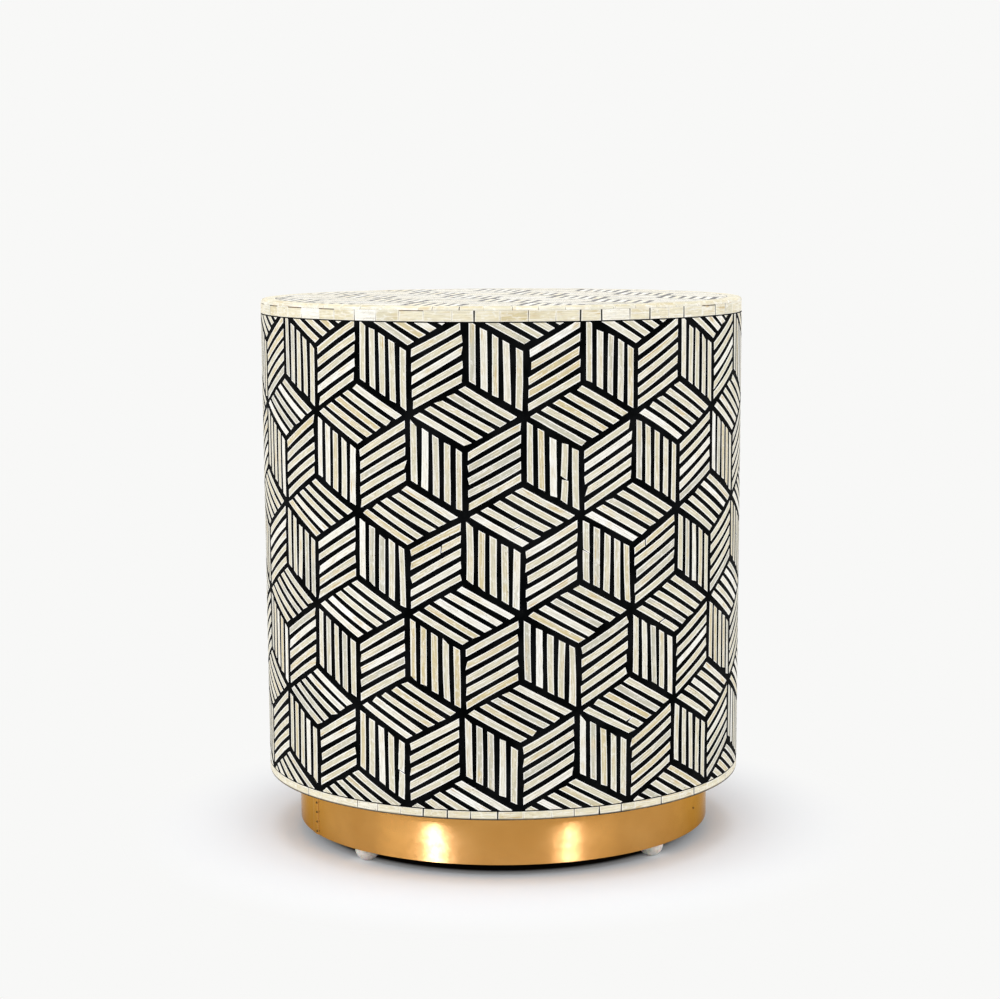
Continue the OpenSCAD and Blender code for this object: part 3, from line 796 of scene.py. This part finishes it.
class TABLE_OT_bone_bands(bpy.types.Operator):
    """Sets the bone blocks round the drum's foot, its rim and the tabletop's edge"""

    bl_idname = "table.bone_bands"
    bl_label = "Bone bands"

    # Name, solid, finish, seed and the first joint's turn in degrees
    foot, rim, edge = "foot_band_blocks", "rim_band_blocks", "tabletop_edge_blocks"
    bands = (
        ("foot_band_bone", foot, "foot_block", 5, -1.0),
        ("rim_band_bone", rim, "block", 17, 0.2),
        ("tabletop_edge_bone", edge, "edge_block", 31, 2.3),
    )
    # Joints' widths in millimetres: the share of joints up to which each range runs, and the range
    widths = {
        foot: ((0.4, 0.06, 0.16), (0.7, 0.4, 0.7), (1.0, 0.8, 1.2)),
        rim: ((0.5, 0.06, 0.2), (0.75, 0.4, 0.7), (1.0, 0.9, 1.3)),
        edge: ((0.6, 0.06, 0.2), (0.9, 0.3, 0.5), (1.0, 0.7, 1.0)),
    }
    blocks_around = 63
    edge_w = EDGE_R - FIELD_R
    # The tabletop's outer corner is rounded to this radius by sanding
    round_r = 2.8

    def execute(self, context):
        joints = {}
        for name, node, finish, seed, first_turn in self.bands:
            low, high = solid_size(node)[1:]
            chance = random.Random(seed)
            if node == self.edge:
                blank = self.edge_blank(self.edge_w, high - low)
            else:
                blank = sawn_blank(BLOCK_L, high - low, DRUM_R - WALL_R, 2, 0.25)
            blocks = []
            laid_out = joints[node] = self.joints(chance, first_turn, self.widths[node])
            following = laid_out[1:] + [(laid_out[0][0] + 360, laid_out[0][1])]
            for (turn, gap), (end, end_gap) in zip(laid_out, following):
                first = turn + gap / 2 / DRUM_R / DEGREE
                last = end - end_gap / 2 / DRUM_R / DEGREE
                blocks.append(self.block(blank, chance, first, last, low, high, node))
            finish_piece(joined(blocks), name, finish, [node], 35)
            bpy.data.objects.remove(blank)
        self.joint_filler(joints)
        return {"FINISHED"}

    def joints(self, chance, first_turn, widths):
        """Each joint's turn in degrees and width in millimetres, with the odd short block."""
        joints = []
        for i in range(self.blocks_around):
            stray = chance.gauss(0, 0.045)
            if chance.random() < 0.06:
                stray += chance.choice((-0.35, 0.35))
            pick = chance.random()
            low, high = next(limits for share, *limits in widths if pick < share)
            joints.append((first_turn + (i + stray) * 360 / self.blocks_around, chance.uniform(low, high)))
        return joints

    def block(self, blank, chance, first, last, low, high, node):
        """One block between two turns, with its own trims along the bottom and the top."""
        tones = (chance.random(), chance.random(), 1.0 if chance.random() < 0.25 else 0.1, 1.0)
        length = (last - first) * DEGREE * DRUM_R
        seed = chance.uniform(0, 40)
        lean = (chance.gauss(0, 0.14), chance.gauss(0, 0.14))
        proud = chance.uniform(0.0, 0.06)
        bottom_trim, top_trim = chance.uniform(0.0, 0.1), chance.uniform(0.0, 0.1)
        width = high - low
        if node == self.foot:
            # Trimmed from below so that the dark joint filler shows as a thin line under the foot band: a
            # dark line put where there is shade
            bottom_trim += 0.45
        elif node == self.rim:
            top_trim += chance.uniform(0.4, 0.8) if chance.random() < 0.3 else 0.0
        else:
            bottom_trim = top_trim = 0.0
            width = self.edge_w

        def shape(co):
            x, y = co.x * 2, co.y * 2
            turn = (first + last) / 2 + (last - first) / 2 * x
            turn += lean[x > 0] * y / DRUM_R / DEGREE if abs(x) > END else 0.0
            off = y * width / 2 - (top_trim if y > 0 else -bottom_trim)
            return turn, off, co.z + (proud if co.z > BACK else 0.0), x * length / 2, off

        def place(turn, off, z):
            if node == self.edge:
                return place_at(turn * DEGREE, (FIELD_R + EDGE_R) / 2 + off, high + z)
            return place_at(turn * DEGREE, DRUM_R + z, (low + high) / 2 + off)

        return laid(blank, shape, place, tones, (length / 2, width / 2 + 0.3, seed))

    def edge_blank(self, width, depth):
        """A blank for the tabletop's edge, with its outer corner rounded."""
        blank = bar(BLOCK_L, width, depth)
        bevel, subdivide, tiny = bpy.ops.mesh.bevel, bpy.ops.mesh.subdivide, 0.01

        def outer(a, b):
            return min(a.z, b.z) > -0.1 and min(a.y, b.y) > 0

        def at_end(a, b):
            """The edges round each end, apart from the lowest and the inner upright one."""
            on_end = abs(a.x - b.x) < tiny and abs(a.x) > BLOCK_L * 0.45 and (a - b).length > tiny
            inner = min(a.z, b.z) < tiny - depth and max(a.y, b.y) < 0
            return on_end and max(a.z, b.z) > tiny - depth and not inner

        work_edges(blank, outer, bevel, offset=self.round_r, segments=5, affect="EDGES")
        work_edges(blank, at_end, bevel, offset=0.2, segments=1, affect="EDGES")
        work_edges(blank, lambda a, b: abs(a.x - b.x) > BLOCK_L * 0.75, subdivide, number_cuts=2)
        return as_blank(blank, BLOCK_L, width)

    def joint_filler(self, joints):
        """Glue and resin that fill the joints from behind, as two rings with one profile each."""
        back, inside, corner = 0.22, 0.05, 2.9
        inner, outer, r = WALL_R - 1, DRUM_R - back, corner - back
        rim = [(inner, RIM_LOW + inside), (outer, RIM_LOW + inside), (outer, EDGE_TOP - corner)]
        for i in range(1, 5):
            a = i * 90 / 5 * DEGREE
            rim.append((DRUM_R - corner + r * math.cos(a), EDGE_TOP - corner + r * math.sin(a)))
        rim += [(DRUM_R - corner, EDGE_TOP - back), (FIELD_R + inside, EDGE_TOP - back)]
        rim += [(FIELD_R + inside, EDGE_LOW + inside), (inner, EDGE_LOW + inside)]
        foot = [(inner, FOOT_LOW + inside), (outer, FOOT_LOW + inside)]
        foot += [(outer, FOOT_TOP - inside), (inner, FOOT_TOP - inside)]
        for name, node, profile in (
            ("rim_joint_filler", self.rim, rim),
            ("foot_joint_filler", self.foot, foot),
        ):
            ring = spun(profile, 192)
            deep = []
            for vertex in ring.data.vertices:
                turn = turn_of(vertex.co) / DEGREE
                band = self.edge if vertex.co.z > (EDGE_LOW + 0.5) * MM else node
                nearest = min(joints[band], key=lambda joint: abs(math.remainder(joint[0] - turn, 360)))
                deep.append(1.0 if nearest[1] > 0.6 else 0.0)
            ring.data.attributes.new("deep", "FLOAT", "POINT").data.foreach_set("value", deep)
            finish_piece(ring, name, "joint", [], 30)


class TABLE_OT_brass(bpy.types.Operator):
    """Wraps the brass sheet round the plinth, with its lap"""

    bl_idname = "table.brass"
    bl_label = "Brass sheet"

    # Lengths in millimetres, and the turn in degrees at which the lap ends
    core = PLINTH_R - SHEET_T
    soft = 0.18
    hollow = 0.09
    lap_turn = -61.5
    lap_l = 15.0

    def execute(self, context):
        low, high = BRASS_LOW, BRASS_TOP
        profile = [(self.core, low), (PLINTH_R - self.soft, low), (PLINTH_R, low + self.soft)]
        profile += [(PLINTH_R, low + (high - low) * i / 6) for i in range(1, 6)]
        profile += [(PLINTH_R, high - self.soft), (PLINTH_R - self.soft, high), (self.core, high)]
        sheet = spun(profile, 360)
        for vertex in sheet.data.vertices:
            self.handle(vertex)
        piece = joined([sheet, self.lap()])
        finish_piece(piece, "brass_plinth_sheet", "brass", ["brass_band"], 30)
        return {"FINISHED"}

    def handle(self, vertex):
        """Slow hollows left by hand where the sheet was drawn round the plinth."""
        flat = Vector((vertex.co.x, vertex.co.y, 0))
        r = flat.length / MM
        if r < self.core + 0.3:
            return
        turn = turn_of(vertex.co)
        z = vertex.co.z / MM
        ripple = noise.noise(Vector((math.cos(turn) * 5, math.sin(turn) * 5, z * 0.02)))
        fine = noise.noise(Vector((math.cos(turn) * 17, math.sin(turn) * 17, z * 0.05 + 9)))
        r -= (0.5 + 0.5 * ripple) * self.hollow + (0.5 + 0.5 * fine) * self.hollow * 0.2
        flat.normalize()
        vertex.co.x, vertex.co.y = flat.x * r * MM, flat.y * r * MM

    def lap(self):
        """The lapped end: it rises smoothly from the sheet beneath, and its edge is filed down."""
        deselect()
        bpy.ops.mesh.primitive_cube_add(size=1, location=(0, 0, 0))
        lap = bpy.context.object
        subdivide = bpy.ops.mesh.subdivide
        work_edges(lap, lambda a, b: abs(a.x - b.x) > 0.5, subdivide, number_cuts=19)
        work_edges(lap, lambda a, b: abs(a.z - b.z) > 0.5, subdivide, number_cuts=5)
        arc, climbed, filed = self.lap_l / PLINTH_R, 0.7, 0.93
        for vertex in lap.data.vertices:
            x, y, z = vertex.co
            share = x + 0.5
            turn = self.lap_turn * DEGREE + (share - 1) * arc
            climb = min(1.0, share / climbed)
            rise = (SHEET_T - 0.1) * climb * climb * (3 - 2 * climb)
            rise -= 0.5 * max(0.0, (share - filed) / (1 - filed))
            r = PLINTH_R - 0.12 + rise if y < 0 else PLINTH_R - SHEET_T / 2
            vertex.co = place_at(turn, r, BRASS_LOW + 0.1 + (BRASS_TOP - BRASS_LOW - 0.2) * (z + 0.5))
        return lap


class TABLE_OT_glides(bpy.types.Operator):
    """Turns the four nylon glides under the plinth"""

    bl_idname = "table.glides"
    bl_label = "Glides"

    # Sizes in millimetres, and the first glide's turn in degrees
    radius = 10.0
    flat_r = 4.0
    rim_h = 2.0
    ease = 0.3
    first_turn = -42.6

    def execute(self, context):
        dome_h = GLIDES_TOP - GLIDES_LOW - self.rim_h
        ball_z = (self.radius**2 + dome_h**2 - self.flat_r**2) / (2 * dome_h)
        ball_r = math.hypot(self.flat_r, ball_z)
        profile = [(0.0, GLIDES_LOW), (self.flat_r, GLIDES_LOW)]
        for i in range(1, 12):
            z = dome_h * i / 12
            profile.append((math.sqrt(ball_r**2 - (ball_z - z) ** 2), GLIDES_LOW + z))
        profile += [(self.radius, GLIDES_LOW + dome_h), (self.radius, GLIDES_TOP - self.ease)]
        profile += [(self.radius - self.ease, GLIDES_TOP), (0.0, GLIDES_TOP)]
        dome = spun(profile, 48, closed=False)
        circle = PLINTH_R - SHEET_T - self.radius
        copies = []
        for i in range(4):
            turn = (self.first_turn + 90 * i) * DEGREE
            copies.append(copy_of(dome))
            for vertex in copies[-1].data.vertices:
                vertex.co.x += circle * math.sin(turn) * MM
                vertex.co.y -= circle * math.cos(turn) * MM
        bpy.data.objects.remove(dome)
        finish_piece(joined(copies), "nylon_glides", "nylon", ["glides"], 40)
        return {"FINISHED"}


class TABLE_OT_carcass(bpy.types.Operator):
    """Finishes the solids that stay: boards, uprights, bent wall, screws, nails and pins"""

    bl_idname = "table.carcass"
    bl_label = "Carcass"

    finishes = {
        "fibreboard": ("plinth_ring_lower", "plinth_ring_upper"),
        "plywood": ("bottom_panel", "top_panel", "middle_former"),
        "bent_ply": ("drum_wall",),
        "mango": ("uprights",),
        "steel": ("plinth_screws", "bottom_panel_screws", "top_panel_screws", "glide_nails"),
        "pin": ("brass_pins",),
    }

    def execute(self, context):
        for finish, nodes in self.finishes.items():
            for node in nodes:
                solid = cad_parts[node]
                solid.data.materials.clear()
                solid.data.materials.append(materials[finish])
        return {"FINISHED"}


class TABLE_OT_stage(bpy.types.Operator):
    """Sets the sweep, the lamps, the world and the camera of the photograph"""

    bl_idname = "table.stage"
    bl_label = "Stage"

    # The table's light is broad, from high in front and from both sides. The lamps called box are linked
    # to the brass alone: a hot core and a wide skirt either side of the camera, once each.
    # Name, turn in degrees, height, distance, width and height in metres, and power in watts
    lamps = (
        ("box_left_core", -38.4, 1.2, 2.1, 0.15, 0.8, 520.0),
        ("box_left_skirt", -51.0, 1.1, 2.15, 1.6, 1.2, 70.0),
        ("box_right_core", 36.9, 1.2, 2.1, 0.16, 0.8, 300.0),
        ("box_right_skirt", 45.0, 1.1, 2.15, 1.4, 1.2, 34.0),
        ("overhead", 0.0, 2.6, 0.2, 1.6, 1.6, 21.0),
        ("high_front", 0.0, 2.2, 1.7, 2.2, 1.6, 14.5),
        ("side_left", -78.0, 1.0, 2.0, 1.4, 1.6, 13.0),
        ("side_right", 78.0, 1.0, 2.0, 1.4, 1.6, 9.0),
    )
    # The camera's place in metres, its angles in radians, and its lens and shift in pixels of the picture
    eye = (0.0, -1.8974, 0.5203)
    pitch, roll, yaw = 0.1621, -0.0048, -0.0011
    lens = 2254.96
    shift = 580 - 499.5
    picture_w = 1000
    sensor_w = 36.0

    def execute(self, context):
        scene = context.scene
        deselect()
        bpy.ops.mesh.primitive_plane_add(size=60, location=(0, 0, 0))
        floor = context.object
        floor.name = "studio_floor"
        floor.data.materials.append(floor_material())
        self.light_world(scene)
        brass = bpy.data.collections.new("brass_lit_by_boxes")
        brass.objects.link(bpy.data.objects["brass_plinth_sheet"])
        for lamp in self.lamps:
            self.light_lamp(brass, *lamp)
        self.set_camera(scene)
        scene.view_settings.view_transform = "Standard"
        return {"FINISHED"}

    def light_world(self, scene):
        """A soft white light all round, which the camera, mirrors and glass see as the backdrop."""
        scene.world = bpy.data.worlds.new("studio")
        scene.world.use_nodes = True
        tree = scene.world.node_tree
        tree.nodes.clear()
        through = add_node(tree, "LightPath").outputs["Is Transmission Ray"]
        seen = add_node(tree, "Math", {0: seen_directly(tree), 1: through}, operation="MAXIMUM")
        soft = add_node(tree, "Background", {"Color": "#FFFFFF", "Strength": 0.66})
        shown = add_node(tree, "Background", {"Color": BACKDROP_COLOUR, "Strength": 1.0})
        add_node(tree, "OutputWorld", {0: add_node(tree, "MixShader", {0: seen, 1: soft, 2: shown})})

    def light_lamp(self, brass, name, turn, height, far, width, tall, power):
        """One lamp, aimed at the middle of the drum."""
        a = turn * DEGREE
        bpy.ops.object.light_add(type="AREA", location=(far * math.sin(a), -far * math.cos(a), height))
        lamp = bpy.context.object
        lamp.name = name
        lamp.data.shape = "RECTANGLE"
        lamp.data.size = width
        lamp.data.size_y = tall
        lamp.data.energy = power
        if name.startswith("box"):
            lamp.light_linking.receiver_collection = brass
            lamp.data.cycles.max_bounces = 0
        if name.endswith("core"):
            lamp.data.color = (0.78, 0.88, 1.6)
        if name.startswith("side"):
            lamp.visible_glossy = False
        lamp.rotation_euler = (Vector((0, 0, 0.2)) - lamp.location).to_track_quat("-Z", "Y").to_euler()

    def set_camera(self, scene):
        """The photograph's camera: level it looks along +Y, and then it is rolled, pitched and turned."""
        bpy.ops.object.camera_add(location=self.eye)
        camera = bpy.context.object
        camera.name = "photograph_camera"
        turned = Matrix.Rotation(-self.yaw, 4, "Z") @ Matrix.Rotation(math.pi / 2 - self.pitch, 4, "X")
        camera.matrix_world = Matrix.Translation(self.eye) @ turned @ Matrix.Rotation(self.roll, 4, "Z")
        camera.data.sensor_width = self.sensor_w
        camera.data.lens = self.lens / self.picture_w * self.sensor_w
        camera.data.shift_y = self.shift / self.picture_w
        scene.camera = camera


class TABLE_PT_panel(bpy.types.Panel):
    """Lists the settings and the steps that dress the table"""

    bl_label = "Drum table"
    bl_idname = "TABLE_PT_panel"
    bl_space_type = "VIEW_3D"
    bl_region_type = "UI"
    bl_category = "Drum table"

    def draw(self, context):
        for group in (context.scene.table_inlay, context.scene.table_bone):
            for key in group.__annotations__:
                self.layout.prop(group, key)
        for step in STEPS:
            self.layout.operator(step.bl_idname)


STEPS = (
    TABLE_OT_wall_inlay,
    TABLE_OT_top_inlay,
    TABLE_OT_resin,
    TABLE_OT_bone_bands,
    TABLE_OT_brass,
    TABLE_OT_glides,
    TABLE_OT_carcass,
    TABLE_OT_stage,
)
CLASSES = (InlaySettings, BoneColours, *STEPS, TABLE_PT_panel)


def register():
    for made in CLASSES:
        bpy.utils.register_class(made)
    bpy.types.Scene.table_inlay = bpy.props.PointerProperty(type=InlaySettings)
    bpy.types.Scene.table_bone = bpy.props.PointerProperty(type=BoneColours)


def unregister():
    del bpy.types.Scene.table_inlay
    del bpy.types.Scene.table_bone
    for made in reversed(CLASSES):
        bpy.utils.unregister_class(made)


STRIP_TONES = ((0.0, "grey"), (0.06, "grey"), (0.18, "ivory"), (0.6, "ivory"))
STRIP_TONES += ((0.76, "pale"), (0.84, "ivory"), (0.96, "honey"))
# The tabletop's strips are paler and more even than the wall's: partly the bone's own tone, partly painted
# light for the brighter top
TOP_TONES = ((0.0, "cream"), (0.62, "pale"), (0.7, "pale"), (1.0, "cream"))
# The tabletop's edge blocks are darker and warmer: partly the bone's own tone, partly painted shade that
# holds down the lamps' highlight on the rounded corner
EDGE_TONES = ((0.0, "honey"), (0.15, "ivory"), (0.6, "ivory"), (1.0, "cream"))
BLOCK_TONES = ((0.0, "ivory"), (0.1, "cream"), (0.75, "cream"), (0.88, "pale"))
BLOCK_TONES += ((0.93, "cream"), (1.0, "honey"))


def make_materials(colours):
    """Makes the finishes that the pieces and the solids take."""
    foot = FOOT_LOW + 0.5
    materials.update(
        bone=bone_material("sanded_camel_bone", colours, STRIP_TONES, 1.0),
        block=bone_material("sanded_bone_block", colours, BLOCK_TONES, 0.8, 0.45),
        # The foot blocks take a line of painted shade along their lower edge
        foot_block=bone_material("sanded_bone_block_painted_shade_below", colours, BLOCK_TONES, 0.8, 0.45, foot),
        # Edge blocks: warm tones with painted shade against the highlight on their rounded corner
        edge_block=bone_material("sanded_bone_block_warm_and_painted_darker", colours, EDGE_TONES, 0.8, 0.3),
        # Paler strips on the tabletop: partly their own tone, partly painted light
        top_bone=bone_material("sanded_camel_bone_pale_with_painted_light", colours, TOP_TONES, 0.45, 0.5),
        resin=resin_material("black_resin_sanded_matt", "#010202", "#101112", 0.02),
        top_resin=resin_material("black_resin_sanded_and_waxed", "#0E0906", "#1A120B", 0.4, 0.6),
        joint=joint_material(),
        brass=brass_material(),
        pin=pin_material(),
        nylon=nylon_material(),
        steel=steel_material(),
        fibreboard=wood_material("sealed_fibreboard", "#3A2C20", "#4A392A", 60.0, (1.0, 1.0, 1.0)),
        plywood=wood_material("birch_plywood", "#A98759", "#C9AC7C", 9.0, (1.0, 7.0, 1.0)),
        bent_ply=wood_material("bending_plywood", "#9C7648", "#BD9863", 9.0, (7.0, 7.0, 1.0)),
        mango=wood_material("planed_mango_wood", "#8F6B40", "#B8935F", 12.0, (6.0, 6.0, 0.6)),
    )


def main():
    register()
    make_materials(bpy.context.scene.table_bone)
    for step in STEPS:
        group, name = step.bl_idname.split(".")
        getattr(getattr(bpy.ops, group), name)()


if __name__ == "__main__":
    main()
